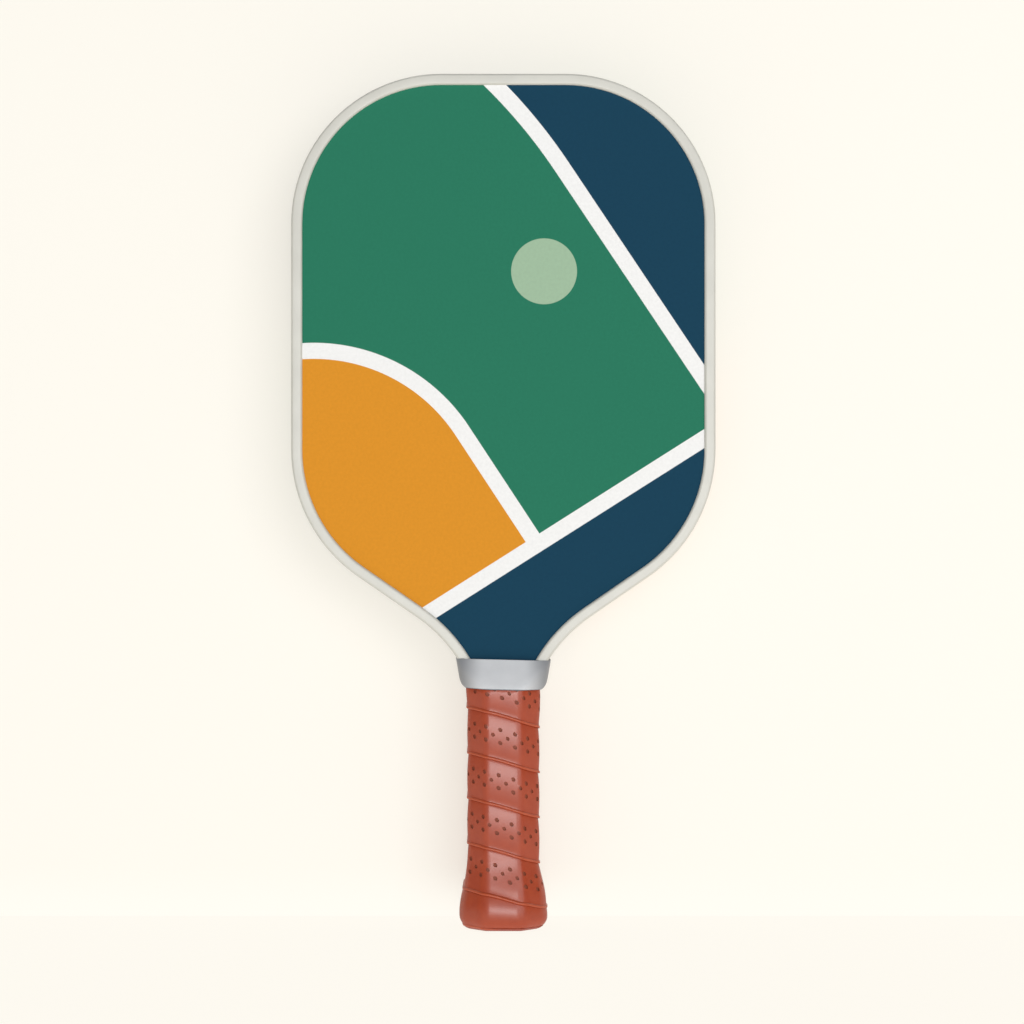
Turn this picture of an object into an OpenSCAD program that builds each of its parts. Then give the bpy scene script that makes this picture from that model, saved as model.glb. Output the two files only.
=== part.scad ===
// Pickleball paddle, standing on its butt end.
// +Z runs from the butt end to the tip, -Y is the front face, X is the width.
// The origin is the centre of the butt end.

/* [Blade] */
// Length from the butt end to the tip
overall_l = 405; // [370:1:430]
// Width over the edge guard
head_w = 201; // [170:1:230]
// Radius of the two upper corners
top_corner_r = 71; // [40:1:80]
// Radius of the two lower corners
low_corner_r = 73; // [40:1:78]
// Slope of the straight shoulders
shoulder_angle = 34.6; // [30:0.1:42]
// Radius of the hollow curve from the shoulder into the neck
throat_r = 70; // [50:1:80]
// Width over the edge guard where it enters the collar
neck_w = 43.4; // [40:0.1:48]
// Slope of the outline where it enters the collar
neck_angle = 57.2; // [52:0.1:62]

/* [Sandwich] */
// Thickness of the honeycomb sheet
core_t = 13; // [9:0.5:16]
// Thickness of each bonding fleece
scrim_t = 0.3; // [0.1:0.05:0.5]
// Thickness of each skin
skin_t = 0.5; // [0.3:0.05:1]
// Honeycomb cell size, across the flats
cell_af = 8; // [6:0.5:14]
// Thickness of the walls between the cells
cell_wall = 0.6; // [0.4:0.1:1.5]
// Solid margin between the outermost cells and the edge of the sheet
core_rim = 1.5; // [1:0.5:4]

/* [Edge guard] */
// Width of the guard as seen on the face
guard_w = 5.3; // [4:0.1:8]
// Thickness of the guard across the edge of the sheet
guard_wall = 1.2; // [0.8:0.1:2]
// How far each lip stands up from the skin
guard_lip_t = 1.4; // [0.8:0.1:2]
// Rounding of the guard's outer corners
guard_outer_r = 2.8; // [1:0.1:3]
// Rounding of the lips' inner edges
guard_lip_r = 1.2; // [0.4:0.1:1.4]
// Thickness of the tape under the guard
guard_tape_t = 0.25; // [0.1:0.05:0.5]

/* [Handle] */
// Exposed grip length, from the butt end to the collar
grip_l = 113.8; // [95:0.1:150]
// Width over the grip at mid length
grip_w = 34.5; // [31:0.1:40]
// Depth over the grip at mid length, front to back
grip_d = 31; // [28:0.1:38]
// Thickness of the cushion strap
strap_t = 1.7; // [1:0.1:2.5]
// Rounding of the eight edges of the grip
grip_edge_r = 3.2; // [2.8:0.1:5]
// Width of the flat land on the front and back of the shaft
shaft_flat_w = 16; // [12:0.5:20]
// Thickness of the pallets at their noses, under the collar
pallet_nose_t = 1; // [0.6:0.1:2]
// How far the grip widens again at the collar, on each side
neck_swell = 0.6; // [0:0.1:1]
// Length over which the grip widens again
neck_swell_l = 15; // [8:1:25]

/* [Butt] */
// How far the butt swells out beyond the grip, on each side
butt_swell = 3.75; // [2:0.05:5]
// Height of the butt's widest point
butt_belly_h = 7.3; // [6.5:0.1:10]
// Height at which the flare has run out
flare_h = 34; // [28:1:45]
// Rounding of the butt's lower edge
butt_corner_r = 6.5; // [5:0.1:6.5]
// Height of the cap
cap_h = 26; // [22:1:28]
// Thickness of the cap's closed end
cap_floor_t = 4; // [3:0.5:6]
// Diameter of the badge
badge_d = 20; // [14:1:22]
// Thickness of the badge
badge_t = 0.6; // [0.4:0.1:1]
// How deep the badge lies below the end face
badge_sink = 0.2; // [0.1:0.05:0.5]

/* [Collar] */
// Height of the collar
collar_h = 14; // [10:0.5:18]
// Wall of the collar where it grips the handle
collar_wall_base = 1.2; // [0.8:0.1:2]
// Wall of the collar where it is stretched over the guard
collar_wall_top = 0.75; // [0.5:0.05:1.2]
// Rounding of the collar's corners at the top rim, inside
collar_corner_r = 3.4; // [2:0.1:5]
// How far the strap runs up under the collar
strap_tuck = 7.2; // [5:0.1:8]
// How far the pallets' noses stop short of the collar's top
nose_gap = 3.8; // [3:0.1:6]
// Width of the finishing tape
tape_w = 6; // [4:0.5:6.5]
// Thickness of the finishing tape
tape_t = 0.2; // [0.1:0.05:0.3]

/* [Fasteners] */
// Width of a staple over its legs
staple_w = 9; // [7:0.5:11]
// Length of a staple's legs
staple_leg = 7.5; // [6:0.5:8]
// Width of the staple wire
staple_wire_w = 1.2; // [0.8:0.1:1.5]
// Thickness of the staple wire
staple_wire_t = 0.6; // [0.4:0.1:0.8]
// Heights of the two rows of staples above the butt end
staple_z = [12, 21];
// Diameter of the tack's head
tack_head_d = 5; // [4:0.5:6]
// Thickness of the tack's head
tack_head_t = 0.6; // [0.4:0.1:0.8]
// Diameter of the tack's shank
tack_d = 1.2; // [0.8:0.1:1.5]
// Length of the tack's shank
tack_l = 3.2; // [2:0.1:3.4]

/* [Fits] */
// Clearance between the cap and what it fits over
cap_fit = 0.1; // [0.05:0.05:0.3]
// Clearance between the strap and the shaft
strap_fit = 0.05; // [0.02:0.01:0.1]
// Clearance round the collar's inner wall
collar_fit = 0.2; // [0.15:0.01:0.3]
// How far a staple's crown lies below the cap's surface
staple_sink = 0.1; // [0.05:0.05:0.3]
// Clearance between the guard's wall and its tape
guard_fit = 0.1; // [0.08:0.01:0.2]
// Gap between the top of the strap and the ends of the guard
guard_end_gap = 0.8; // [0.5:0.1:2]
// Clearance between the pallets' noses and the guard
nose_fit = 0.1; // [0.05:0.05:0.3]

/* [Hidden] */
$fn = 96;
mould_fn = 32;
slab_h = 0.01;
rim_cut = 0.05;
far = 60;
half_w = head_w / 2;

// Faces of the sandwich, measured from its middle plane
core_y = core_t / 2;
scrim_y = core_y + scrim_t;
skin_y = scrim_y + skin_t;
guard_y = skin_y + guard_lip_t;
sheet_inset = guard_wall + guard_tape_t;

// Heights along the handle
collar_z = grip_l;
collar_top_z = grip_l + collar_h;
strap_top_z = collar_z + strap_tuck;
nose_z = collar_top_z - nose_gap;
tang_z = cap_floor_t + cap_fit;

// Outline of the blade: one throat arc, one shoulder line, two corner arcs a side.
shoulder_out = [sin(shoulder_angle), -cos(shoulder_angle)];
throat_c = [neck_w / 2 + throat_r * sin(neck_angle), collar_top_z - throat_r * cos(neck_angle)];
throat_end = throat_c - throat_r * shoulder_out;
low_c_x = half_w - low_corner_r;
shoulder_x = low_c_x + low_corner_r * sin(shoulder_angle);
shoulder_z = throat_end.y + (shoulder_x - throat_end.x) * tan(shoulder_angle);
low_c = [low_c_x, shoulder_z + low_corner_r * cos(shoulder_angle)];
top_c = [half_w - top_corner_r, overall_l - top_corner_r];
guard_end_z = strap_top_z + guard_end_gap;
guard_end_angle = asin((guard_end_z - throat_c.y) / throat_r);

// Eight-sided section of the shaft: side, front and slanted faces
shaft_x = grip_w / 2 - strap_t;
shaft_y = grip_d / 2 - strap_t;
slant_dx = shaft_x - shaft_flat_w / 2;
slant_dy = shaft_y - skin_y;
slant_angle = atan2(slant_dx, slant_dy);
slant_reach = shaft_x * cos(slant_angle) + skin_y * sin(slant_angle);
neck_slope = (shaft_y - skin_y - pallet_nose_t) / (nose_z - collar_z);
swell_steps = 9;
corner_steps = 6;
edge_steps = 4;
face_angles = [0, slant_angle, 90, 180 - slant_angle, 180, 180 + slant_angle, 270,
    360 - slant_angle, 360];
bead_steps = 5;
station_step = 5;

// Honeycomb grid
cell_pitch = cell_af + cell_wall;
cell_r = cell_af / 2 / cos(30);
cell_cols = ceil(head_w / cell_pitch);
cell_rows = ceil(overall_l / (cell_pitch * sin(60)));
cell_keep = sheet_inset + core_rim + cell_r;

// A list back to front
function reversed(list) = [for (i = [len(list) - 1 : -1 : 0]) list[i]];

// Points of an arc, evenly spaced
function arc(centre, r, from, to, steps) = [for (i = [0 : steps])
    let (a = from + (to - from) * i / steps) centre + r * [cos(a), sin(a)]];

// Swell of the handle at height z, beyond its mid-length section
function swell(z) =
    z <= butt_belly_h ? butt_swell :
    z >= flare_h ? 0 :
    butt_swell * (1 + cos(180 * (z - butt_belly_h) / (flare_h - butt_belly_h))) / 2;

// Centres of the two round corners in one quarter of the grip's section. The side
// and slanted faces move out by widen, and the front face in by cut.
function grip_centres(widen, cut) =
    let (x = shaft_x + strap_t + widen - grip_edge_r,
        y = shaft_y + strap_t - cut - grip_edge_r,
        reach = slant_reach + strap_t + widen - grip_edge_r)
    [[x, (reach - x * cos(slant_angle)) / sin(slant_angle)],
        [(reach - y * sin(slant_angle)) / cos(slant_angle), y]];

// Points round the grip's section at one level: its height, how far it lies outside
// the section at mid length, and its widen and cut
function ring(level) =
    let (c = grip_centres(level[2], level[3]), r = grip_edge_r + level[1])
    [for (j = [0 : 7])
        let (k = [0, 1, 1, 0, 0, 1, 1, 0][j], sx = [1, 1, -1, -1, -1, -1, 1, 1][j],
            sy = j < 4 ? 1 : -1, corner = [sx * c[k].x, sy * c[k].y])
        for (p = arc(corner, r, face_angles[j], face_angles[j + 1], edge_steps))
            [p.x, p.y, level[0]]];

// Levels of the handle, from the butt's round edge up to the top of the strap, for a
// surface that lies skin inside the grip's outer surface
function levels(skin) = let (edge_c = [butt_swell - butt_corner_r, butt_corner_r]) concat(
    [for (p = arc(edge_c, butt_corner_r - skin, -90, 0, corner_steps)) [p.y, p.x, 0, 0]],
    [for (i = [0 : swell_steps])
        let (z = butt_belly_h + (flare_h - butt_belly_h) * i / swell_steps)
        [z, swell(z) - skin, 0, 0]],
    [[collar_z - neck_swell_l, -skin, 0, 0], [collar_z, -skin, neck_swell, 0],
        [strap_top_z, -skin, neck_swell, neck_slope * strap_tuck]]);

// Closed body through rings that hold the same number of points
module loft(rings) {
    n = len(rings[0]);
    last = (len(rings) - 1) * n;
    polyhedron(
        points = [for (r = rings, p = r) p],
        faces = concat(
            [[for (j = [0 : n - 1]) j]],
            [for (i = [0 : len(rings) - 2], j = [0 : n - 1])
                [i * n + j, (i + 1) * n + j, (i + 1) * n + (j + 1) % n, i * n + (j + 1) % n]],
            [[for (j = [n - 1 : -1 : 0]) last + j]]));
}

// Eight-sided handle body whose surface lies skin inside the grip's outer surface
module handle_body(skin) {
    loft([for (level = levels(skin)) ring(level)]);
}

// A silhouette mirrored about the axis, as a slab that runs right through the handle
module slab(side, turn) {
    other_side = [for (p = reversed(side)) [-p.x, p.y]];
    rotate([0, 0, turn]) rotate([90, 0, 0])
        linear_extrude(height = 2 * far, center = true) polygon(concat(side, other_side));
}

// Straight shaft that the pallets and the tang make together, with a clearance all
// round where something fits over it
module shaft(gap = 0) {
    reach_x = shaft_x + gap;
    reach_y = shaft_y + gap;
    reach_s = slant_reach + gap;
    intersection() {
        slab([[reach_x, cap_floor_t], [reach_x, nose_z]], 0);
        slab([[reach_y, cap_floor_t], [reach_y, collar_z],
            [reach_y - neck_slope * (nose_z - collar_z), nose_z]], 90);
        slab([[reach_s, cap_floor_t], [reach_s, nose_z]], slant_angle);
        slab([[reach_s, cap_floor_t], [reach_s, nose_z]], -slant_angle);
    }
}

// Outline of the sheets, inset from the outside of the guard, with the tang, whose
// straight sides run up to tang_top
module sheet_outline(inset, tang_top = guard_end_z) {
    low_tangent = low_c + (low_corner_r - inset) * shoulder_out;
    neck_tangent = throat_c - (throat_r + inset) * shoulder_out;
    for (side = [0, 1]) mirror([side, 0]) {
        translate([0, tang_z]) square([shaft_x, tang_top - tang_z]);
        translate(top_c) circle(top_corner_r - inset);
        translate(low_c) circle(low_corner_r - inset);
        difference() {
            polygon([[0, throat_c.y], throat_c, neck_tangent, low_tangent, low_c,
                [half_w - inset, low_c.y], [half_w - inset, top_c.y], top_c,
                [top_c.x, overall_l - inset], [0, overall_l - inset]]);
            translate(throat_c) circle(throat_r + inset);
        }
    }
}

// Sheet between two depths, standing upright, with a slot for any staple that reaches it
module sheet(y0, y1, inset) {
    difference() {
        translate([0, y1, 0]) rotate([90, 0, 0])
            linear_extrude(height = y1 - y0) sheet_outline(inset);
        cap_staples();
    }
}

// A cell is kept where its whole hexagon lies inside the sheet
function in_head(x, z) =
    x <= half_w - cell_keep && z <= overall_l - cell_keep
    && (x <= top_c.x || z <= top_c.y || norm([x, z] - top_c) <= top_corner_r - cell_keep)
    && (x <= low_c.x || z >= low_c.y || [x, z] * shoulder_out > low_c * shoulder_out + low_corner_r
        || norm([x, z] - low_c) <= low_corner_r - cell_keep)
    && ([x, z] - throat_end) * shoulder_out <= -cell_keep;
function in_neck(x, z) =
    z >= throat_c.y && z <= throat_end.y && x < throat_c.x
    && norm([x, z] - throat_c) >= throat_r + cell_keep;
function in_tang(x, z) =
    x <= shaft_x - core_rim - cell_r && z >= tang_z + core_rim + cell_r
    && z <= guard_end_z - cell_r;
function keeps_cell(x, z) = in_head(x, z) || in_neck(x, z) || in_tang(x, z);

module honeycomb_core() {
    color("#e9e6dc")
    translate([0, core_y, 0]) rotate([90, 0, 0]) linear_extrude(height = core_t)
    difference() {
        sheet_outline(sheet_inset);
        for (row = [0 : cell_rows], col = [-cell_cols : cell_cols]) {
            x = (col + (row % 2) / 2) * cell_pitch;
            z = row * cell_pitch * sin(60);
            if (keeps_cell(abs(x), z)) translate([x, z]) rotate(30) circle(cell_r, $fn = 6);
        }
    }
}

module front_scrim() {
    color("#f4f4f0") sheet(-scrim_y, -core_y, sheet_inset);
}

module back_scrim() {
    color("#f4f4f0") sheet(core_y, scrim_y, sheet_inset);
}

module front_face() {
    color("#2e795f") sheet(-skin_y, -scrim_y, sheet_inset);
}

module back_face() {
    color("#2e795f") sheet(scrim_y, skin_y, sheet_inset);
}

// Section of the guard: x is the distance in from its outside and y the depth. A
// channel with round outer corners, whose lips end in a round edge on the skins.
guard_half_section = concat(
    [[guard_wall - guard_fit, skin_y], [guard_w, skin_y]],
    arc([guard_w - guard_lip_r, guard_y - guard_lip_r], guard_lip_r, 0, 90, bead_steps),
    arc([guard_outer_r, guard_y - guard_outer_r], guard_outer_r, 90, 180, bead_steps));
guard_section = concat(guard_half_section, [for (p = reversed(guard_half_section)) [p.x, -p.y]]);

// Stations along one side of the outline, from the neck to the tip: each is a point on
// the outside of the guard and the direction in towards the sheet, which is inward
// times the direction from the arc's centre
function stations(centre, r, from, to, inward) = [
    for (p = arc(centre, r, from, to, ceil(abs(to - from) / station_step)))
        [p, inward * (p - centre) / r]];
right_side = concat(
    stations(throat_c, throat_r, 180 - guard_end_angle, 90 + shoulder_angle, 1),
    stations(low_c, low_corner_r, shoulder_angle - 90, 0, -1),
    stations(top_c, top_corner_r, 0, 90, -1));
rim = concat(right_side, [for (station = reversed(right_side)) [for (v = station) [-v.x, v.y]]]);

// The end of the channel: a fan over each lip and one face across the web
function guard_end(first) =
    let (n = len(guard_section), m = len(guard_half_section) - 1)
    concat(
        [[first, first + n - 1, first + n - 1 - m, first + m]],
        [for (j = [1 : m - 1]) [first, first + j + 1, first + j]],
        [for (j = [1 : m - 1]) [first + n - 1, first + n - 1 - j, first + n - 2 - j]]);

module edge_guard() {
    n = len(guard_section);
    last = (len(rim) - 1) * n;
    color("#dcd9d0") polyhedron(
        points = [for (s = rim, p = guard_section) let (q = s[0] + p.x * s[1]) [q.x, p.y, q.y]],
        faces = concat(
            guard_end(0),
            [for (i = [0 : len(rim) - 2], j = [0 : n - 1])
                [i * n + j, i * n + (j + 1) % n, (i + 1) * n + (j + 1) % n, (i + 1) * n + j]],
            [for (face = guard_end(last)) reversed(face)]));
}

module guard_tape() {
    color("#c9b98a") difference() {
        sheet(-skin_y, skin_y, guard_wall);
        sheet(-far, far, sheet_inset);
        translate([0, 0, guard_end_z + guard_tape_t - far]) cube(2 * far, center = true);
    }
}

// One leg-to-leg staple, driven from the front, crown flush with the cap
module staple(z) {
    crown_y = shaft_y + swell(z + staple_wire_w / 2) - staple_sink;
    translate([-staple_w / 2, -crown_y, z - staple_wire_w / 2]) {
        cube([staple_w, staple_wire_t, staple_wire_w]);
        for (x = [0, staple_w - staple_wire_t]) translate([x, 0, 0])
            cube([staple_wire_t, staple_leg, staple_wire_w]);
    }
}

module cap_staples() {
    color("#b9bcc0")
    for (turn = [0, 180], z = staple_z) rotate([0, 0, turn]) staple(z);
}

// Recess in the cap over each staple's crown
module staple_seats() {
    for (turn = [0, 180], z = staple_z) rotate([0, 0, turn])
        translate([-staple_w / 2, -far, z - staple_wire_w / 2])
            cube([staple_w, far - shaft_y, staple_wire_w]);
}

module pallet() {
    difference() {
        intersection() {
            shaft();
            translate([0, -skin_y, 0]) rotate([90, 0, 0]) linear_extrude(height = far)
                sheet_outline(guard_w + nose_fit, strap_top_z);
        }
        cap_staples();
    }
}

module handle_pallet_front() {
    color("#3d4044") pallet();
}

module handle_pallet_back() {
    color("#3d4044") rotate([0, 0, 180]) pallet();
}

module cap_core(top) {
    intersection() {
        handle_body(strap_t);
        cylinder(h = top, r = far);
    }
}

module butt_cap() {
    color("#8f4127")
    difference() {
        union() {
            cap_core(cap_h);
            intersection() {
                handle_body(0);
                cylinder(h = strap_t, r = far);
            }
        }
        shaft(cap_fit);
        cap_staples();
        staple_seats();
        grip_tack();
        cylinder(h = badge_sink + badge_t, d = badge_d);
    }
}

module butt_badge() {
    color("#c7c9cb") translate([0, 0, badge_sink]) cylinder(h = badge_t, d = badge_d);
}

// Tack on the side of the cap, under the strap
module grip_tack() {
    head_x = shaft_x + swell(butt_belly_h + tack_head_d / 2);
    color("#b9bcc0") translate([head_x, 0, butt_belly_h + tack_head_d / 2]) rotate([0, 90, 0]) {
        cylinder(h = tack_head_t, d = tack_head_d);
        translate([0, 0, -tack_l]) cylinder(h = tack_l, d = tack_d);
    }
}

module grip_strap() {
    color("#a04c34")
    difference() {
        handle_body(0);
        cylinder(h = strap_t, r = far);
        cap_core(cap_h);
        shaft(strap_fit);
        sheet(-skin_y, skin_y, sheet_inset);
        grip_tack();
    }
}

module finishing_tape() {
    color("#8a3f2b")
    difference() {
        intersection() {
            handle_body(-tape_t);
            translate([0, 0, strap_top_z - tape_w])
                cylinder(h = tape_w, r = far);
        }
        handle_body(0);
    }
}

// Thin slab with round corners, whose corner centres lie in each quarter
module round_slab(z, corners, r) {
    for (side = [0, 1], back = [0, 1]) mirror([side, 0]) mirror([0, back])
        for (c = corners) translate([c.x, c.y, z]) cylinder(h = slab_h, r = r, $fn = mould_fn);
}

// The band stretched from the grip's section below, over the top of the strap, to the
// neck's flat section above
module collar_form(gap_base, gap_top, over) {
    top_r = collar_corner_r + gap_top - collar_fit;
    top_corner = [neck_w / 2 + gap_top - top_r, guard_y + gap_top - top_r];
    hull() {
        round_slab(collar_top_z + over, [top_corner], top_r);
        round_slab(strap_top_z, grip_centres(neck_swell, neck_slope * strap_tuck),
            grip_edge_r + gap_base);
        round_slab(collar_z - over, grip_centres(neck_swell, 0), grip_edge_r + gap_base);
    }
}

module grip_collar() {
    color("#c3c4c7")
    difference() {
        collar_form(collar_fit + tape_t + collar_wall_base, collar_fit + collar_wall_top, 0);
        collar_form(collar_fit + tape_t, collar_fit, rim_cut);
    }
}

honeycomb_core();
front_scrim();
back_scrim();
front_face();
back_face();
guard_tape();
edge_guard();
handle_pallet_front();
handle_pallet_back();
butt_cap();
cap_staples();
butt_badge();
grip_tack();
grip_strap();
finishing_tape();
grip_collar();
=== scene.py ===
import math

import bmesh
import bpy
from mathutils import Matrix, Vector


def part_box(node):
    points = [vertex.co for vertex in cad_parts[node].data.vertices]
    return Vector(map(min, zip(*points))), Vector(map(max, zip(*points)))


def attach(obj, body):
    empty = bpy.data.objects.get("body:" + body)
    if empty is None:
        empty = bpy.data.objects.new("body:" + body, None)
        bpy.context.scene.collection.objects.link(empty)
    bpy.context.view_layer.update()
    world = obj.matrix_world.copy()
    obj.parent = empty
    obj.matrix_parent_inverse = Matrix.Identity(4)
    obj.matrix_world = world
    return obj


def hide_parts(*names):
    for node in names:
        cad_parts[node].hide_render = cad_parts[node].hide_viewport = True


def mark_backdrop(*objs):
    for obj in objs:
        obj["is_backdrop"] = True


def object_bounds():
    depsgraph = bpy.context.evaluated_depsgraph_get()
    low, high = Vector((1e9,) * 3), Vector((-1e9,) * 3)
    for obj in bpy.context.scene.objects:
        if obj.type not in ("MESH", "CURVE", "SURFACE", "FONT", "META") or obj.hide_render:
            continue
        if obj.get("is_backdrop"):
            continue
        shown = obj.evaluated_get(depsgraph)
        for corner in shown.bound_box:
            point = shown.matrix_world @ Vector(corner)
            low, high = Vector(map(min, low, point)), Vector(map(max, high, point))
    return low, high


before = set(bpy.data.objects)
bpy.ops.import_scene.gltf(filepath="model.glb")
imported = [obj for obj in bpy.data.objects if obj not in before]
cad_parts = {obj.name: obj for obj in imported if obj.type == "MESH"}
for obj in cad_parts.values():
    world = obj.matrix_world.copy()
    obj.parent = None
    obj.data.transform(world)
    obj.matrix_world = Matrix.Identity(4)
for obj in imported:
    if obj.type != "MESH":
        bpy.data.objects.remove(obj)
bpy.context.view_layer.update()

# --- Honeycomb core -------------------------------------------------------------------------
# A sheet of polypropylene tubes, extruded, welded side by side and sawn across into slices.
# The skins and the guard close it in all round, so it shows only if the paddle is taken apart.
mm = 0.001


def tone(red, green, blue):
    """A colour as a paint chart gives it, 0 to 255, in the values that a shader works in."""
    parts = [c / 255 for c in (red, green, blue)]
    return (*[c / 12.92 if c < 0.04045 else ((c + 0.055) / 1.055) ** 2.4 for c in parts], 1)


def put(tree, kind, inputs, **options):
    """Adds a node and returns its first output. An input gets a value, or a socket to feed it."""
    node = tree.nodes.new("ShaderNode" + kind)
    for name, value in options.items():
        setattr(node, name, value)
    for name, value in inputs.items():
        if isinstance(value, bpy.types.NodeSocket):
            tree.links.new(value, node.inputs[name])
        else:
            node.inputs[name].default_value = value
    return node.outputs[0]


def material(name, **sockets):
    """A new material, its node tree, its shader and the Object coordinates of what wears it."""
    made = bpy.data.materials.new(name)
    made.use_nodes = True
    tree = made.node_tree
    shader = tree.nodes["Principled BSDF"]
    for socket, value in sockets.items():
        shader.inputs[socket.replace("_", " ")].default_value = value
    place = tree.nodes.new("ShaderNodeTexCoord").outputs["Object"]
    return made, tree, shader, place


def drift(tree, place, scale, dark, light, detail=4, sharp=0.5):
    """Colour that drifts between two tones in patches of about 1 / scale metres."""
    patch = put(tree, "TexNoise", {"Vector": place, "Scale": scale, "Detail": detail, "Roughness": sharp})
    share = put(tree, "MapRange", {"Value": patch, "From Min": 0.3, "From Max": 0.7})
    return put(tree, "MixRGB", {"Fac": share, "Color1": dark, "Color2": light})


def emboss(tree, shader, height, depth):
    """Raises the surface by height times depth, in metres."""
    bump = put(tree, "Bump", {"Height": height, "Distance": depth, "Strength": 1.0})
    tree.links.new(bump, shader.inputs["Normal"])


def wear(material, *nodes):
    """Gives CAD nodes a material in place of their own."""
    for node in nodes:
        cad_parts[node].data.materials.clear()
        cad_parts[node].data.materials.append(material)


def natural_polypropylene():
    """Milky plastic with the fine draw lines that an extrusion die leaves along each cell."""
    made, tree, shader, place = material("natural_polypropylene", Roughness=0.42, Subsurface_Weight=0.15)
    drawn = put(tree, "Mapping", {"Vector": place, "Scale": (1, 0.08, 1)})
    milk = drift(tree, drawn, 900, tone(214, 210, 198), tone(238, 235, 226))
    tree.links.new(milk, shader.inputs["Base Color"])
    lines = put(tree, "TexNoise", {"Vector": drawn, "Scale": 4000.0, "Detail": 2.0})
    emboss(tree, shader, lines, 0.04 * mm)
    return made


wear(natural_polypropylene(), "honeycomb_core")

# --- Bonding fleeces ------------------------------------------------------------------------
# One thin polyester fleece on each side of the core, soaked with the glue that holds the skin.
# The fibres give the glue something to key into.


def spunbond_fleece():
    """White non-woven cloth: crossing fibres, a little yellow where the glue has soaked in."""
    made, tree, shader, place = material("spunbond_fleece", Roughness=0.9)
    glue = drift(tree, place, 160, tone(226, 221, 203), tone(243, 242, 237))
    tree.links.new(glue, shader.inputs["Base Color"])
    strands = []
    for turn in (0.5, 2.1):
        laid = put(tree, "Mapping", {"Vector": place, "Rotation": (0, turn, 0), "Scale": (1, 1, 0.06)})
        strands.append(put(tree, "TexNoise", {"Vector": laid, "Scale": 5000.0, "Detail": 3.0}))
    crossed = put(tree, "Math", {0: strands[0], 1: strands[1]}, operation="MAXIMUM")
    emboss(tree, shader, crossed, 0.12 * mm)
    return made


wear(spunbond_fleece(), "front_scrim", "back_scrim")

# --- Printed skins --------------------------------------------------------------------------
# Each face is a glass-fibre skin, half a millimetre thick, printed with court lines and fields
# of colour under a satin coat. The same print is on both faces, each read from its own side.
line_w = 7.6 * mm
print_edge = 0.12 * mm
baseline_slope = math.radians(32.35)
baseline_foot = (95.5 * mm, 228.0 * mm)
sideline_slope = math.radians(56.2)
arc_line_slope = math.radians(56.66)
sideline_centre = (-183.4 * mm, 220.2 * mm)
sideline_r = 250 * mm
arc_centre = (-89.8 * mm, 189.65 * mm)
arc_r = 88 * mm
ball_centre = (19.3 * mm, 311.5 * mm)
ball_r = 15.6 * mm
court_green = tone(42, 120, 94)
court_navy = tone(23, 64, 87)
court_orange = tone(221, 146, 43)
line_white = tone(243, 242, 242)
ball_green = tone(160, 188, 160)


def printed_skin(name, side):
    """The print in flat fields with white lines between them. side is -1 on the back face."""
    made, tree, shader, place = material(name, Roughness=0.6, Specular_IOR_Level=0.05)
    flat = put(tree, "Mapping", {"Vector": place, "Scale": (side, 0, 1)})

    def along(centre, direction):
        """Each point's offset from centre, and how far that reaches in a direction on the face."""
        step = put(tree, "VectorMath", {0: flat, 1: (centre[0], 0, centre[1])}, operation="SUBTRACT")
        dot = tree.nodes.new("ShaderNodeVectorMath")
        dot.operation = "DOT_PRODUCT"
        tree.links.new(step, dot.inputs[0])
        dot.inputs[1].default_value = (direction[0], 0, direction[1])
        return step, dot.outputs["Value"]

    def distance(centre, r, run=None):
        """How far each point lies outside a circle that runs straight on along a tangent."""
        step, reach = along(centre, run or (0, 0))
        if run:
            reach = put(tree, "Math", {0: reach, 1: 0.0}, operation="MAXIMUM")
            slide = put(tree, "VectorMath", {0: (run[0], 0, run[1]), "Scale": reach}, operation="SCALE")
            step = put(tree, "VectorMath", {0: step, 1: slide}, operation="SUBTRACT")
        length = tree.nodes.new("ShaderNodeVectorMath")
        length.operation = "LENGTH"
        tree.links.new(step, length.inputs[0])
        return put(tree, "Math", {0: length.outputs["Value"], 1: r}, operation="SUBTRACT")

    def over(below, colour, outside, offset):
        """Lays a colour over what is below it, wherever outside is more than offset."""
        share = put(tree, "MapRange", {"Value": outside, "From Min": offset - print_edge,
                                       "From Max": offset + print_edge})
        return put(tree, "MixRGB", {"Fac": share, "Color1": below, "Color2": colour})

    # Far corner: a line that bends over towards the tip, with navy beyond it
    sideline = distance(sideline_centre, sideline_r,
                        (math.cos(sideline_slope), -math.sin(sideline_slope)))
    field = over(court_green, line_white, sideline, 0)
    field = over(field, court_navy, sideline, line_w)
    # The ball, and the rounded orange field with its line
    ball = distance(ball_centre, ball_r)
    field = over(ball_green, field, ball, 0)
    bend = distance(arc_centre, arc_r, (math.cos(arc_line_slope), -math.sin(arc_line_slope)))
    field = over(line_white, field, bend, 0)
    field = over(court_orange, field, bend, -line_w)
    # The baseline runs right across, with navy below it
    up = (-math.sin(baseline_slope), math.cos(baseline_slope))
    baseline = along(baseline_foot, up)[1]
    field = over(line_white, field, baseline, line_w)
    field = over(court_navy, field, baseline, 0)

    # Ink takes slightly unevenly on the glass cloth, and the coat has a fine sand in it
    cloth = put(tree, "TexNoise", {"Vector": place, "Scale": 700.0, "Detail": 3.0})
    shade = put(tree, "MapRange", {"Value": cloth, "From Min": 0.3, "From Max": 0.7,
                                   "To Min": 0.96, "To Max": 1.02})
    ink = put(tree, "VectorMath", {0: field, "Scale": shade}, operation="SCALE")
    tree.links.new(ink, shader.inputs["Base Color"])
    sand = put(tree, "TexNoise", {"Vector": place, "Scale": 2600.0, "Detail": 2.0})
    emboss(tree, shader, sand, 0.02 * mm)
    return made


wear(printed_skin("front_print", 1), "front_face")
wear(printed_skin("back_print", -1), "back_face")

# --- Guard tape -----------------------------------------------------------------------------
# Double-sided foam tape laid round the sawn edge, which holds the guard on. The guard covers
# it all the way to the collar.


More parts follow.
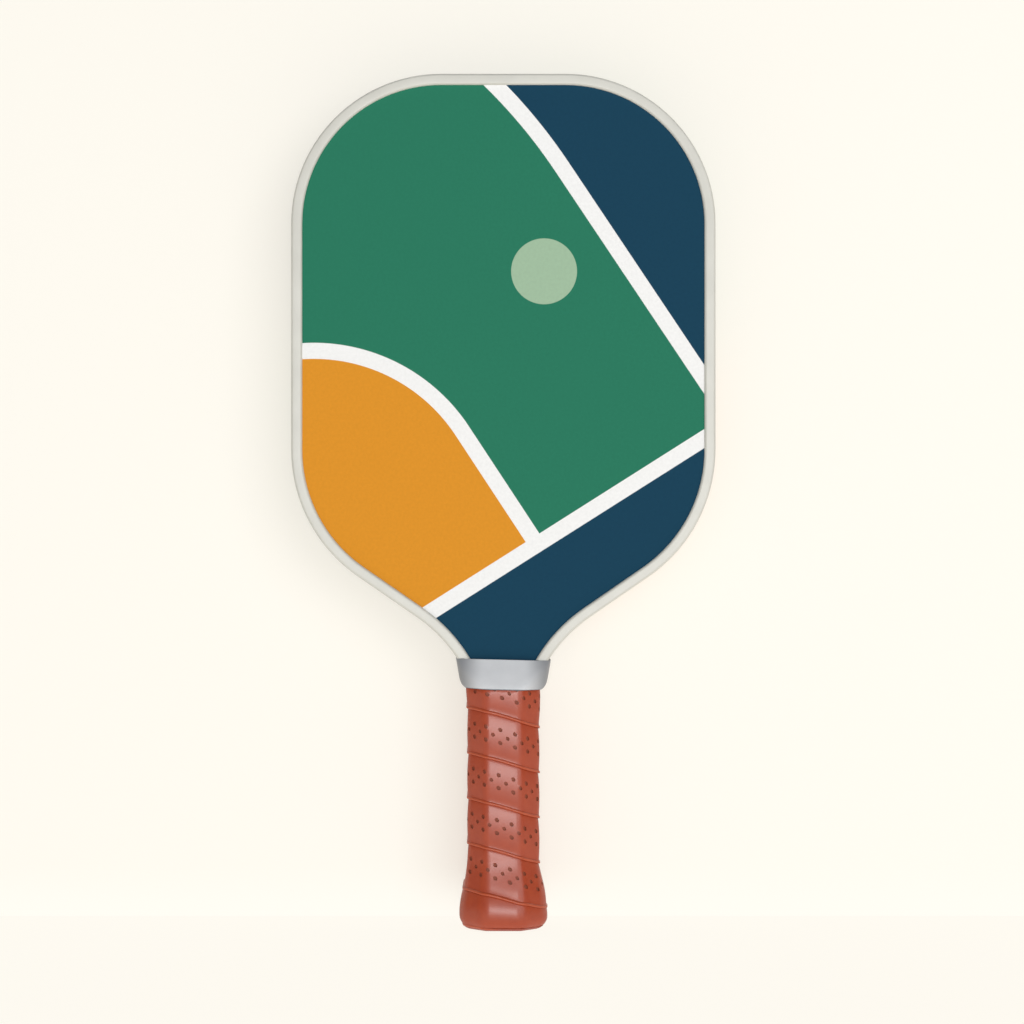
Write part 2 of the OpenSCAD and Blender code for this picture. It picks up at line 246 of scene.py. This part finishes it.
def foam_tape():
    """Tan foam with small open pores."""
    made, tree, shader, place = material("foam_tape", Roughness=0.85)
    tree.links.new(drift(tree, place, 300, tone(178, 160, 117), tone(208, 192, 150)),
                   shader.inputs["Base Color"])
    pores = put(tree, "TexVoronoi", {"Vector": place, "Scale": 2500.0})
    emboss(tree, shader, pores, 0.06 * mm)
    return made


wear(foam_tape(), "guard_tape")

# --- Edge guard -----------------------------------------------------------------------------
# A soft plastic channel, extruded in one length, bent round the edge and taped on. Its two lips
# lie on the skins, and both its ends are tucked under the collar.
guard_low, guard_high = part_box("edge_guard")
tip_z = guard_high.z
half_w = guard_high.x
guard_y = guard_high.y
skin_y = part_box("back_face")[1].y
guard_w = 5.3 * mm
guard_web = 1.1 * mm
guard_outer_r = 2.8 * mm
guard_lip_r = 1.2 * mm
guard_end_gap = 0.8 * mm
bend_step = math.radians(3)
merge_gap = 0.002 * mm
top_corner_r = 71 * mm
low_corner_r = 73 * mm
throat_r = 70 * mm
neck_half_w = 21.7 * mm
shoulder_angle = math.radians(34.6)
neck_angle = math.radians(57.2)
collar_low, collar_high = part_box("grip_collar")

shoulder_out = Vector((math.sin(shoulder_angle), 0, -math.cos(shoulder_angle)))
throat_c = Vector((neck_half_w + throat_r * math.sin(neck_angle), 0,
                   collar_high.z - throat_r * math.cos(neck_angle)))
throat_end = throat_c - throat_r * shoulder_out
low_c_x = half_w - low_corner_r
shoulder_x = low_c_x + low_corner_r * math.sin(shoulder_angle)
shoulder_z = throat_end.z + (shoulder_x - throat_end.x) * math.tan(shoulder_angle)
low_c = Vector((low_c_x, 0, shoulder_z + low_corner_r * math.cos(shoulder_angle)))
top_c = Vector((half_w - top_corner_r, 0, tip_z - top_corner_r))


def begin(primitive, name, at=(0, 0, 0), stretch=(1, 1, 1), turn=(0, 0, 0), **options):
    """Adds a primitive at its size and place, held in its mesh, and opens it in edit mode."""
    bpy.ops.object.select_all(action="DESELECT")
    primitive(location=at, rotation=turn, **options)
    piece = bpy.context.object
    piece.name = name
    piece.data.name = name
    piece.scale = stretch
    bpy.ops.object.transform_apply(location=True, rotation=True, scale=True)
    bpy.ops.object.mode_set(mode="EDIT")
    return piece


def pick(piece, kind, wanted):
    """In edit mode, selects just the verts, edges or faces whose middle passes a test."""
    bpy.context.tool_settings.mesh_select_mode = [kind == k for k in ("verts", "edges", "faces")]
    bpy.ops.mesh.select_all(action="DESELECT")
    shape = bmesh.from_edit_mesh(piece.data)
    for part in getattr(shape, kind):
        corners = [part] if kind == "verts" else part.verts
        middle = sum((v.co for v in corners), Vector()) / len(corners)
        part.select_set(bool(wanted(middle)))
    shape.select_flush_mode()
    bmesh.update_edit_mesh(piece.data)


def finish_mesh(piece, angle=35):
    """Merges doubles, turns every face outwards, and smooths all but the sharp edges."""
    bpy.ops.mesh.select_all(action="SELECT")
    bpy.ops.mesh.remove_doubles(threshold=merge_gap)
    bpy.ops.mesh.normals_make_consistent(inside=False)
    bpy.ops.object.mode_set(mode="OBJECT")
    bpy.ops.object.shade_smooth_by_angle(angle=math.radians(angle))


def apply_modifier(piece, kind, **options):
    """Adds a modifier with its options and applies it."""
    added = piece.modifiers.new(kind.lower(), kind)
    for name, value in options.items():
        setattr(added, name, value)
    bpy.ops.object.modifier_apply(modifier=added.name)


def near(a, b):
    """Whether two lengths are the same, to a hundredth of a millimetre."""
    return abs(a - b) < 0.01 * mm


# The section of the channel, at the middle of the tip: a web with a lip at each end
guard = begin(bpy.ops.mesh.primitive_plane_add, "guard_extrusion", (0, 0, tip_z - guard_web / 2),
              (guard_web, 2 * guard_y, 1), (0, math.pi / 2, 0), size=1)
for y in (-skin_y, skin_y):
    bpy.ops.mesh.select_all(action="SELECT")
    bpy.ops.mesh.bisect(plane_co=(0, y, 0), plane_no=(0, 1, 0))
pick(guard, "edges", lambda m: near(m.z, tip_z - guard_web) and abs(m.y) > skin_y)
bpy.ops.mesh.extrude_region_move(TRANSFORM_OT_translate={"value": (0, 0, guard_web - guard_w)})
pick(guard, "verts", lambda m: near(m.z, tip_z) and near(abs(m.y), guard_y))
bpy.ops.mesh.bevel(offset=guard_outer_r, segments=9, affect="VERTICES")
pick(guard, "verts", lambda m: near(m.z, tip_z - guard_w) and near(abs(m.y), guard_y))
bpy.ops.mesh.bevel(offset=guard_lip_r, segments=6, affect="VERTICES")
bpy.ops.mesh.select_all(action="SELECT")
bpy.ops.mesh.dissolve_faces()
bpy.context.tool_settings.mesh_select_mode = (False, True, False)
bpy.ops.mesh.select_all(action="SELECT")
bpy.ops.mesh.delete(type="ONLY_FACE")
bpy.ops.mesh.select_all(action="SELECT")


def draw_to(start, end):
    """Draws the selected section straight on."""
    bpy.ops.mesh.extrude_region_move(TRANSFORM_OT_translate={"value": end - start})


def bend_round(centre, angle):
    """Draws the selected section round a corner, clockwise as seen from the front."""
    bpy.ops.mesh.spin(steps=round(abs(angle) / bend_step), angle=-angle, center=centre,
                      axis=(0, 1, 0))


guard_end_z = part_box("grip_strap")[1].z + guard_end_gap
guard_end_angle = math.asin((guard_end_z - throat_c.z) / throat_r)
draw_to(Vector((0, 0, top_c.z)), top_c)
bend_round(top_c, math.pi / 2)
draw_to(top_c + Vector((top_corner_r, 0, 0)), low_c + Vector((low_corner_r, 0, 0)))
bend_round(low_c, math.pi / 2 - shoulder_angle)
draw_to(low_c + low_corner_r * shoulder_out, throat_end)
bend_round(throat_c, guard_end_angle + shoulder_angle - math.pi / 2)
bpy.ops.mesh.fill()
bpy.ops.object.mode_set(mode="OBJECT")
apply_modifier(guard, "MIRROR", merge_threshold=merge_gap)
bpy.ops.object.mode_set(mode="EDIT")
finish_mesh(guard, 50)


def satin_guard_plastic():
    """Warm off-white soft plastic, with long faint streaks and a fine satin grain."""
    made, tree, shader, place = material("satin_guard_plastic", Roughness=0.36, Coat_Weight=0.12,
                                         Coat_Roughness=0.3)
    tree.links.new(drift(tree, place, 70, tone(198, 196, 188), tone(205, 203, 195)),
                   shader.inputs["Base Color"])
    grain = put(tree, "TexNoise", {"Vector": place, "Scale": 3500.0, "Detail": 2.0})
    emboss(tree, shader, grain, 0.008 * mm)
    return made


guard.data.materials.append(satin_guard_plastic())
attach(guard, "root")
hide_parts("edge_guard")

# --- Handle pallets -------------------------------------------------------------------------
# Two blocks of structural foam, glued one on each side of the tang and milled to the handle's
# eight-sided section. The cap and the strap cover them.


def structural_foam():
    """Dark closed-cell foam with a milled surface that cuts its cells open."""
    made, tree, shader, place = material("structural_foam", Roughness=0.8)
    tree.links.new(drift(tree, place, 420, tone(52, 55, 59), tone(74, 77, 82)),
                   shader.inputs["Base Color"])
    cells = put(tree, "TexVoronoi", {"Vector": place, "Scale": 1700.0})
    emboss(tree, shader, cells, 0.15 * mm)
    return made


wear(structural_foam(), "handle_pallet_front", "handle_pallet_back")

# --- Butt cap, staples and badge ------------------------------------------------------------
# A moulded plastic cap is pushed over the end of the handle and held by four wire staples.
# A plain disc is glued into the recess in its flat end.


def moulded_cap_plastic():
    """Terracotta plastic with a spark-eroded texture."""
    made, tree, shader, place = material("moulded_cap_plastic", Roughness=0.5)
    tree.links.new(drift(tree, place, 350, tone(146, 52, 29), tone(156, 58, 34)),
                   shader.inputs["Base Color"])
    texture = put(tree, "TexVoronoi", {"Vector": place, "Scale": 3000.0})
    emboss(tree, shader, texture, 0.03 * mm)
    return made


def galvanised_wire():
    """Zinc-coated steel wire with drawing marks along it."""
    made, tree, shader, place = material("galvanised_wire", Metallic=1.0, Roughness=0.34)
    drawn = put(tree, "Mapping", {"Vector": place, "Scale": (0.1, 1, 1)})
    tree.links.new(drift(tree, drawn, 2500, tone(158, 161, 164), tone(196, 198, 200)),
                   shader.inputs["Base Color"])
    marks = put(tree, "TexNoise", {"Vector": drawn, "Scale": 9000.0, "Detail": 2.0})
    emboss(tree, shader, marks, 0.01 * mm)
    return made


def badge_plastic():
    """Light grey plastic, turned with fine rings round its middle."""
    made, tree, shader, place = material("badge_plastic", Roughness=0.4)
    tree.links.new(drift(tree, place, 500, tone(188, 190, 192), tone(202, 204, 206)),
                   shader.inputs["Base Color"])
    rings = put(tree, "TexWave", {"Vector": place, "Scale": 900.0, "Distortion": 0.0},
                wave_type="RINGS", rings_direction="Z")
    emboss(tree, shader, rings, 0.01 * mm)
    return made


wear(moulded_cap_plastic(), "butt_cap")
wear(galvanised_wire(), "cap_staples", "grip_tack")
wear(badge_plastic(), "butt_badge")

# --- Grip strap -----------------------------------------------------------------------------
# One long strip of perforated synthetic leather on a cushion backing, wound from the butt up to
# the collar. Each turn overlaps the last, and its lower edge is folded into a narrow welt.
pallet_low, pallet_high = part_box("handle_pallet_front")
strap_low, strap_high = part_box("grip_strap")
strap_t = strap_low.z
edge_r = 3.2 * mm
land = 8 * mm
shaft_x = pallet_high.x
shaft_y = -pallet_low.y
slant = math.atan2(shaft_x - land, shaft_y - skin_y)
reach = shaft_x * math.cos(slant) + skin_y * math.sin(slant) + strap_t - edge_r
side_x = shaft_x + strap_t - edge_r
side_y = shaft_y + strap_t - edge_r
side_corner = Vector((side_x, (reach - side_x * math.cos(slant)) / math.sin(slant)))
front_corner = Vector(((reach - side_y * math.sin(slant)) / math.cos(slant), side_y))


def eight(side, front):
    """The eight corner centres of a section, from the left round the front, right and back."""
    order = [(side, -1, -1), (front, -1, -1), (front, 1, -1), (side, 1, -1),
             (side, 1, 1), (front, 1, 1), (front, -1, 1), (side, -1, 1)]
    return [Vector((corner.x * sx, corner.y * sy)) for corner, sx, sy in order]


quarter = math.pi / 2
facing = [math.pi, math.pi + slant, 3 * quarter, 4 * quarter - slant, 4 * quarter,
          4 * quarter + slant, 5 * quarter, 6 * quarter - slant, 6 * quarter]
grip_corners = eight(side_corner, front_corner)
runs = []
for corner in range(8):
    flat_l = (grip_corners[corner] - grip_corners[corner - 1]).length
    runs.append((flat_l, corner - 1, corner, facing[corner], facing[corner]))
    runs.append((edge_r * (facing[corner + 1] - facing[corner]), corner, corner,
                 facing[corner], facing[corner + 1]))
girth = sum(run[0] for run in runs)


def walk(share):
    """The centre and direction at a share of the way round, from the middle of the left side."""
    left = ((share % 1) * girth + runs[0][0] / 2) % girth
    for length, first, second, start, stop in runs:
        if left <= length:
            break
        left -= length
    part = min(left / length, 1)
    angle = start + (stop - start) * part
    centre = grip_corners[first].lerp(grip_corners[second], part)
    return centre, Vector((math.cos(angle), math.sin(angle)))


butt_swell = strap_high.x - shaft_x - strap_t
belly_z = 7.3 * mm
flare_z = 34 * mm
butt_r = 6.5 * mm
neck_swell = 0.6 * mm
neck_swell_l = 15 * mm
pallet_tip_t = 1 * mm
neck_slope = (shaft_y - skin_y - pallet_tip_t) / (pallet_high.z - collar_low.z)


def swell(z):
    """How far the handle stands out beyond its section at mid length."""
    if z < butt_r:
        return butt_swell - butt_r + math.sqrt(butt_r**2 - (butt_r - max(z, 0)) ** 2)
    if z < belly_z:
        return butt_swell
    if z < flare_z:
        return butt_swell * (1 + math.cos(math.pi * (z - belly_z) / (flare_z - belly_z))) / 2
    return 0


def on_grip(share, z, lift):
    """A point of the handle's surface, lifted along its normal."""
    centre, out = walk(share)
    step = 0.05 * mm
    tilt = (swell(z + step) - swell(z - step)) / (2 * step) if z > 2 * step else 0
    steep = math.hypot(1, tilt)
    wide = min(1, max(0, (z - collar_low.z + neck_swell_l) / neck_swell_l)) * neck_swell
    pull = min(0, collar_low.z - z) * neck_slope
    off = edge_r + swell(z) + lift / steep
    x = centre.x + (off + wide) * out.x
    y = centre.y + off * out.y + pull * out.y
    return Vector((x, y, z - lift * tilt / steep))


pitch = 21.4 * mm
first_seam_z = 105.6 * mm
hand_lead = 1.1 * mm
lead_turn = 0.05
rim_ease = 5 * mm
rim_z = 1 * mm
last_seam_z = -1.5 * mm


def seam_z(turn):
    """Height of the welt after a number of turns down from the topmost one, on the left side."""
    z = first_seam_z - pitch * turn + hand_lead * math.sin(8 * quarter * (turn - lead_turn))
    return last_seam_z + rim_ease * math.log1p(math.exp((z - last_seam_z) / rim_ease))


# One repeat of the strap, flat: along X, its width along Y, and its outer side up
repeat_l = 6.9 * mm
columns = 4
hole_row = 3.05 * mm
middle_w = 12 * mm
crown = 0.26 * mm
lean = 0.28 * mm
welt_w = 1.25 * mm
groove_w = 1.6 * mm
welt_foot_shade_w = 0.06 * mm
groove_shade_low = -0.7 * mm
# Outer side from the welt's lower edge to the edge under the next turn, then the back of the
# strap to the welt again: each is a distance across the strap and a height
welt = [(0.1, -0.62), (0.0, -0.4), (0.08, -0.16), (0.3, 0.02), (0.62, 0.1), (0.94, 0.02),
        (1.14, -0.14), (1.28, -0.28), (1.5, -0.36), (1.75, -0.37), (2.1, -0.37), (2.7, -0.36),
        (3.5, -0.32)]
tuck = [(20.2, -0.6), (20.7, -0.66), (21.0, -0.72), (21.25, -0.81), (21.5, -0.9), (25.6, -0.95),
        (25.6, -1.6)]
back = [(21.0, -1.62), (16.0, -1.62), (11.0, -1.62), (6.0, -1.62), (5.0, -1.5), (4.4, -0.9),
        (2.0, -0.84), (0.4, -0.84)]
rows = [k / 2 for k in range(-5, 6)]
last_row = rows[-1]
field = [(middle_w + row * hole_row, -crown * (row / last_row) ** 2 - lean * (row / last_row + 1) / 2)
         for row in rows]
section = [Vector((0, w * mm, h * mm)) for w, h in welt]
section += [Vector((0, w, h)) for w, h in field]
section += [Vector((0, w * mm, h * mm)) for w, h in tuck + back]

strap = begin(bpy.ops.mesh.primitive_circle_add, "grip_strap_wound", vertices=len(section))
bpy.ops.object.mode_set(mode="OBJECT")
for corner, point in zip(strap.data.vertices, section):
    corner.co = point
bpy.ops.object.mode_set(mode="EDIT")
for _ in range(columns):
    bpy.ops.mesh.extrude_edges_move(TRANSFORM_OT_translate={"value": (repeat_l / columns, 0, 0)})
bpy.ops.mesh.select_all(action="SELECT")
bpy.ops.mesh.normals_make_consistent(inside=False)
bpy.ops.object.mode_set(mode="OBJECT")

# The first turns at the butt aren't perforated; the rest has three rows of punched holes
plain_strap = strap.copy()
plain_strap.data = strap.data.copy()
bpy.context.collection.objects.link(plain_strap)
hole_depth = 0.7 * mm
hole_floor = -1.5 * mm
round_profile = 0.086
within = 0.97
hole_spots = [(1, -1, 1.0 * mm), (1, 1, 1.0 * mm), (3, 0, 0.9 * mm)]


def from_hole(m, column, row):
    """How far a point of the flat strap lies from the middle of a hole."""
    return math.hypot(m.x - column * repeat_l / columns, m.y - middle_w - row * hole_row)


def outside(m):
    """Whether a point of the flat strap's field lies on its outer side."""
    return m.z > -crown - lean


bpy.ops.object.mode_set(mode="EDIT")
for column, row, hole_r in hole_spots:
    pick(strap, "verts", lambda m: near(from_hole(m, column, row), 0) and outside(m))
    bpy.ops.mesh.bevel(offset=hole_r, segments=4, profile=round_profile, affect="VERTICES")
    pick(strap, "faces", lambda m: from_hole(m, column, row) < within * hole_r and outside(m))
    bpy.ops.mesh.extrude_region_move(TRANSFORM_OT_translate={"value": (0, 0, -hole_depth)})
bpy.ops.object.mode_set(mode="OBJECT")


def in_hole(m):
    """Whether a point lies on the wall or the floor of a hole."""
    near_hole = [from_hole(m, column, row) < hole_r for column, row, hole_r in hole_spots]
    return any(near_hole) and hole_floor < m.z < -hole_depth / 2


# Which finish each face of the flat strap wears, with painted highlight on the welt and painted shade in
# the groove, along the welt's foot and in the holes
for length in (strap, plain_strap):
    for face in length.data.polygons:
        m = face.center
        # Hole walls and floors: the browner cut edge, darkened as painted shade in the holes.
        if in_hole(m):
            face.material_index = 3
        # Painted shade: the groove above the welt and a thin line along the welt's lower edge wear a
        # darker copy of the leather.
        elif welt_w < m.y < groove_w and m.z > groove_shade_low or m.y < welt_foot_shade_w:
            face.material_index = 2
        # Painted highlight: the raised welt wears a lighter copy of the leather.
        elif m.y < welt_w:
            face.material_index = 1

holed_repeats = 89
plain_repeats = 46
repeat_gap = 0.005 * mm
turn_gap = 0.003 * mm
for length, count, start in ((strap, holed_repeats, 0), (plain_strap, plain_repeats, holed_repeats)):
    bpy.ops.object.select_all(action="DESELECT")
    length.select_set(True)
    bpy.context.view_layer.objects.active = length
    apply_modifier(length, "ARRAY", count=count, use_relative_offset=False, use_constant_offset=True,
                   constant_offset_displace=(repeat_l, 0, 0), use_merge_vertices=True,
                   merge_threshold=repeat_gap)
    for vertex in length.data.vertices:
        vertex.co.x += start * repeat_l

# Wound on: the strap's length becomes turns round the handle, from above the collar's rim down
turns_above = 1.074
for length in (strap, plain_strap):
    for vertex in length.data.vertices:
        turn = vertex.co.x / girth - turns_above
        across = vertex.co.y / pitch
        low = seam_z(turn)
        local_pitch = seam_z(turn - 1) - low
        squeeze = min(1, local_pitch / pitch)
        vertex.co = on_grip(turn, low + across * local_pitch, vertex.co.z * squeeze)


def synthetic_leather(name, dark, light, gloss):
    """Synthetic leather with fine pores and a faint mottle, under a coat of more or less gloss."""
    made, tree, shader, place = material(name, Roughness=0.5, Specular_IOR_Level=0.2,
                                         Coat_Weight=gloss, Coat_Roughness=0.27, Coat_IOR=1.9)
    tree.links.new(drift(tree, place, 240, dark, light), shader.inputs["Base Color"])
    pores = put(tree, "TexVoronoi", {"Vector": place, "Scale": 2600.0})
    emboss(tree, shader, pores, 0.02 * mm)
    return made


leathers = [synthetic_leather("strap_leather", tone(161, 60, 29), tone(168, 66, 33), 0.28),
            # Painted highlight: a lighter copy of the strap leather for the welt.
            synthetic_leather("welt_highlight_leather", tone(176, 73, 38), tone(182, 78, 42), 0.3),
            # Painted shade: a darker copy of the strap leather for the groove and the welt's foot.
            synthetic_leather("groove_shade_leather", tone(140, 50, 27), tone(148, 55, 31), 0.2),
            # The browner cut edge for the holes, darkened as painted shade.
            synthetic_leather("cut_edge_and_shade_leather", tone(140, 72, 52), tone(152, 82, 62), 0.0)]
for length in (strap, plain_strap):
    for leather in leathers:
        length.data.materials.append(leather)
strap.select_set(True)
bpy.context.view_layer.objects.active = strap
bpy.ops.object.join()
bpy.ops.object.mode_set(mode="EDIT")
bpy.ops.mesh.select_all(action="SELECT")
bpy.ops.mesh.remove_doubles(threshold=turn_gap)
for z, side in ((rim_z, -1), (strap_high.z, 1)):
    bpy.ops.mesh.select_all(action="SELECT")
    bpy.ops.mesh.bisect(plane_co=(0, 0, z), plane_no=(0, 0, side), clear_outer=True, use_fill=True)
finish_mesh(strap, 60)
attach(strap, "root")
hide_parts("grip_strap")

# --- Finishing tape -------------------------------------------------------------------------
# A turn of thin vinyl tape that holds the strap's upper end down, under the collar.


def vinyl_tape():
    """Dark terracotta vinyl with a fine lengthwise grain."""
    made, tree, shader, place = material("vinyl_tape", Roughness=0.3)
    tree.links.new(drift(tree, place, 300, tone(126, 56, 38), tone(140, 66, 46)),
                   shader.inputs["Base Color"])
    grain = put(tree, "TexNoise", {"Vector": place, "Scale": 3000.0, "Detail": 2.0})
    emboss(tree, shader, grain, 0.01 * mm)
    return made


wear(vinyl_tape(), "finishing_tape")

# --- Collar ---------------------------------------------------------------------------------
# A moulded silicone band, stretched over the top of the strap and the ends of the guard. It is
# pulled from the grip's eight-sided section to the neck's flat one, and sits slightly aslant.
collar_points = 160
collar_rings = 32
collar_wall = 0.75 * mm
collar_gap = 0.2 * mm
collar_round = 0.34 * mm
flank_taper = 2.4 * mm
lip_tuck = 2.2 * mm
front_tuck = 0.5 * mm
lip_power = 9
low_crisp = 20
high_crisp = 11
rim_shade_h = 0.5 * mm
side_shade_start_x = 9 * mm
side_shade_full_x = 21 * mm
foot_depth = 16.5 * mm
foot_slant = 19.1 * mm
slant_ease = 4 * mm
collar_slope = math.tan(math.radians(1.4))
top_x = collar_high.x
top_y = guard_y + collar_wall + collar_gap
collar_l = collar_high.z - collar_low.z


def on_collar(angle, up):
    """A point of the collar's outside, at an angle round it and a share of its height."""
    down = 1 - up
    lip = down**lip_power
    wide = top_x - flank_taper * down - lip_tuck * lip
    deep = top_y + (foot_depth + front_tuck - top_y) * down - front_tuck * lip
    slanted = foot_slant + slant_ease * up**2 + front_tuck * (1 - lip)
    crisp = low_crisp + (high_crisp - low_crisp) * up
    faces = ((wide, 0), (deep, quarter), (slanted, slant), (slanted, -slant))
    pull = sum(abs(math.cos(angle - turn) / off) ** crisp for off, turn in faces)
    r = pull ** (-1 / crisp)
    x = r * math.cos(angle)
    return Vector((x, r * math.sin(angle), collar_low.z + up * collar_l - x * collar_slope))


collar = begin(bpy.ops.mesh.primitive_cylinder_add, "stretch_collar", vertices=collar_points,
               radius=1, depth=1, end_fill_type="NOTHING")
for ring in range(1, collar_rings):
    bpy.ops.mesh.select_all(action="SELECT")
    bpy.ops.mesh.bisect(plane_co=(0, 0, ring / collar_rings - 0.5), plane_no=(0, 0, 1))
bpy.ops.object.mode_set(mode="OBJECT")
for vertex in collar.data.vertices:
    vertex.co = on_collar(math.atan2(vertex.co.y, vertex.co.x), vertex.co.z + 0.5)
bpy.ops.object.mode_set(mode="EDIT")
finish_mesh(collar, 50)
apply_modifier(collar, "SOLIDIFY", thickness=collar_wall, offset=-1)
apply_modifier(collar, "BEVEL", width=collar_round, segments=4, limit_method="ANGLE",
               angle_limit=math.radians(50))


def silicone():
    """Cool light grey silicone, dusty, with painted shade: a deeper grey round the sides and a dark line
    along its lower rim.
    """
    made, tree, shader, place = material("silicone", Roughness=0.45, Specular_IOR_Level=0.35)
    grey = drift(tree, place, 120, tone(210, 211, 215), tone(217, 218, 222))
    parts = tree.nodes.new("ShaderNodeSeparateXYZ")
    tree.links.new(place, parts.inputs[0])
    # Painted shade: the grey deepens towards both sides, where the band turns away from the light.
    aside = put(tree, "Math", {0: parts.outputs["X"]}, operation="ABSOLUTE")
    painted_side_shade = put(tree, "MapRange", {"Value": aside, "From Min": side_shade_start_x, "From Max": side_shade_full_x},
                    interpolation_type="SMOOTHSTEP")
    mixed = put(tree, "MixRGB", {"Fac": painted_side_shade, "Color1": grey, "Color2": tone(138, 139, 143)})
    # Painted shade: a thin dark line along the lower rim, where its underside turns from the light.
    level = put(tree, "Math", {0: parts.outputs["X"], 1: collar_slope, 2: parts.outputs["Z"]},
                operation="MULTIPLY_ADD")
    painted_rim_shade = put(tree, "MapRange", {"Value": level, "From Min": collar_low.z + rim_shade_h,
                                     "From Max": collar_low.z + rim_shade_h / 2})
    mixed = put(tree, "MixRGB", {"Fac": painted_rim_shade, "Color1": mixed, "Color2": tone(112, 124, 132)})
    tree.links.new(mixed, shader.inputs["Base Color"])
    dust = put(tree, "TexNoise", {"Vector": place, "Scale": 2200.0, "Detail": 3.0})
    emboss(tree, shader, dust, 0.01 * mm)
    return made


collar.data.materials.append(silicone())
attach(collar, "root")
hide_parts("grip_collar")

# --- Studio ---------------------------------------------------------------------------------
# A pale floor with a pale sheet standing close behind the paddle, a large soft lamp to the upper
# right, a small one in front and a pale surround. The camera looks square at the front face.
paper = tone(254, 250, 241)
view_w = 485 * mm
lens = 85
sensor = 36
eye = Vector((4.1 * mm, -skin_y - view_w * lens / sensor, 197.5 * mm))
sheet_y = 30 * mm
fade_h = 28 * mm
paddle_middle = Vector((0, 0, 200 * mm))

camera_data = bpy.data.cameras.new("camera")
camera_data.lens = lens
camera_data.sensor_width = sensor
camera = bpy.data.objects.new("camera", camera_data)
camera.location = eye
camera.rotation_euler = (math.pi / 2, 0, 0)
bpy.context.collection.objects.link(camera)
bpy.context.scene.camera = camera


def paper_sheet():
    """Matt pale paper that glows, most of all low down, so that it meets the floor without a line.

    Its back is clear, so that the standing sheet hides nothing from behind.
    """
    made, tree, shader, place = material("paper", Roughness=1.0, Specular_IOR_Level=0.0)
    parts = tree.nodes.new("ShaderNodeSeparateXYZ")
    tree.links.new(place, parts.inputs[0])
    standing = put(tree, "MapRange", {"Value": parts.outputs["Z"], "From Max": fade_h},
                   interpolation_type="SMOOTHSTEP")
    share = put(tree, "MapRange", {"Value": standing, "To Min": 0.08, "To Max": 0.45})
    tree.links.new(put(tree, "VectorMath", {0: paper[:3], "Scale": share}, operation="SCALE"),
                   shader.inputs["Base Color"])
    tree.links.new(drift(tree, place, 30, paper, paper), shader.inputs["Emission Color"])
    glow = put(tree, "MapRange", {"Value": standing, "To Min": 0.955, "To Max": 0.56})
    tree.links.new(glow, shader.inputs["Emission Strength"])
    clear = tree.nodes.new("ShaderNodeBsdfTransparent").outputs[0]
    behind = tree.nodes.new("ShaderNodeNewGeometry").outputs["Backfacing"]
    both = put(tree, "MixShader", {"Fac": behind, 1: shader.outputs[0], 2: clear})
    tree.links.new(both, tree.nodes["Material Output"].inputs["Surface"])
    return made


paper_material = paper_sheet()
sheet = begin(bpy.ops.mesh.primitive_plane_add, "standing_sheet", at=(0, sheet_y, 0.6),
              stretch=(3, 1.2, 1), turn=(math.pi / 2, 0, 0), size=1)
bpy.ops.object.mode_set(mode="OBJECT")
sheet.data.materials.append(paper_material)
floor = begin(bpy.ops.mesh.primitive_plane_add, "floor", stretch=(4, 4, 1), size=1)
bpy.ops.object.mode_set(mode="OBJECT")
floor.data.materials.append(paper_material)
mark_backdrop(sheet, floor)

world = bpy.data.worlds.new("surround")
world.use_nodes = True
air = world.node_tree
outlook = air.nodes.new("ShaderNodeSeparateXYZ")
air.links.new(air.nodes.new("ShaderNodeTexCoord").outputs["Object"], outlook.inputs[0])
front_share = put(air, "MapRange", {"Value": outlook.outputs["Y"], "From Min": 0.0, "From Max": -1.0})
front_glow = put(air, "Math", {0: front_share, 1: 2.0}, operation="POWER")
glow = put(air, "MapRange", {"Value": front_glow, "To Min": 0.07, "To Max": 0.49})
air.links.new(glow, air.nodes["Background"].inputs["Strength"])
air.nodes["Background"].inputs["Color"].default_value = tone(238, 249, 255)
bpy.context.scene.world = world


def lamp(name, at, size, power):
    """A square soft lamp that faces the middle of the paddle."""
    light = bpy.data.lights.new(name, "AREA")
    light.size = size
    light.energy = power
    made = bpy.data.objects.new(name, light)
    made.location = at
    made.rotation_euler = (paddle_middle - Vector(at)).to_track_quat("-Z", "Y").to_euler()
    bpy.context.collection.objects.link(made)


lamp("key_lamp", (1.1, -2.4, 0.8), 1.7, 22)
lamp("front_lamp", (0.03, -2.4, 0.15), 0.45, 14)

bpy.context.scene.view_settings.view_transform = "Standard"

low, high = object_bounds()
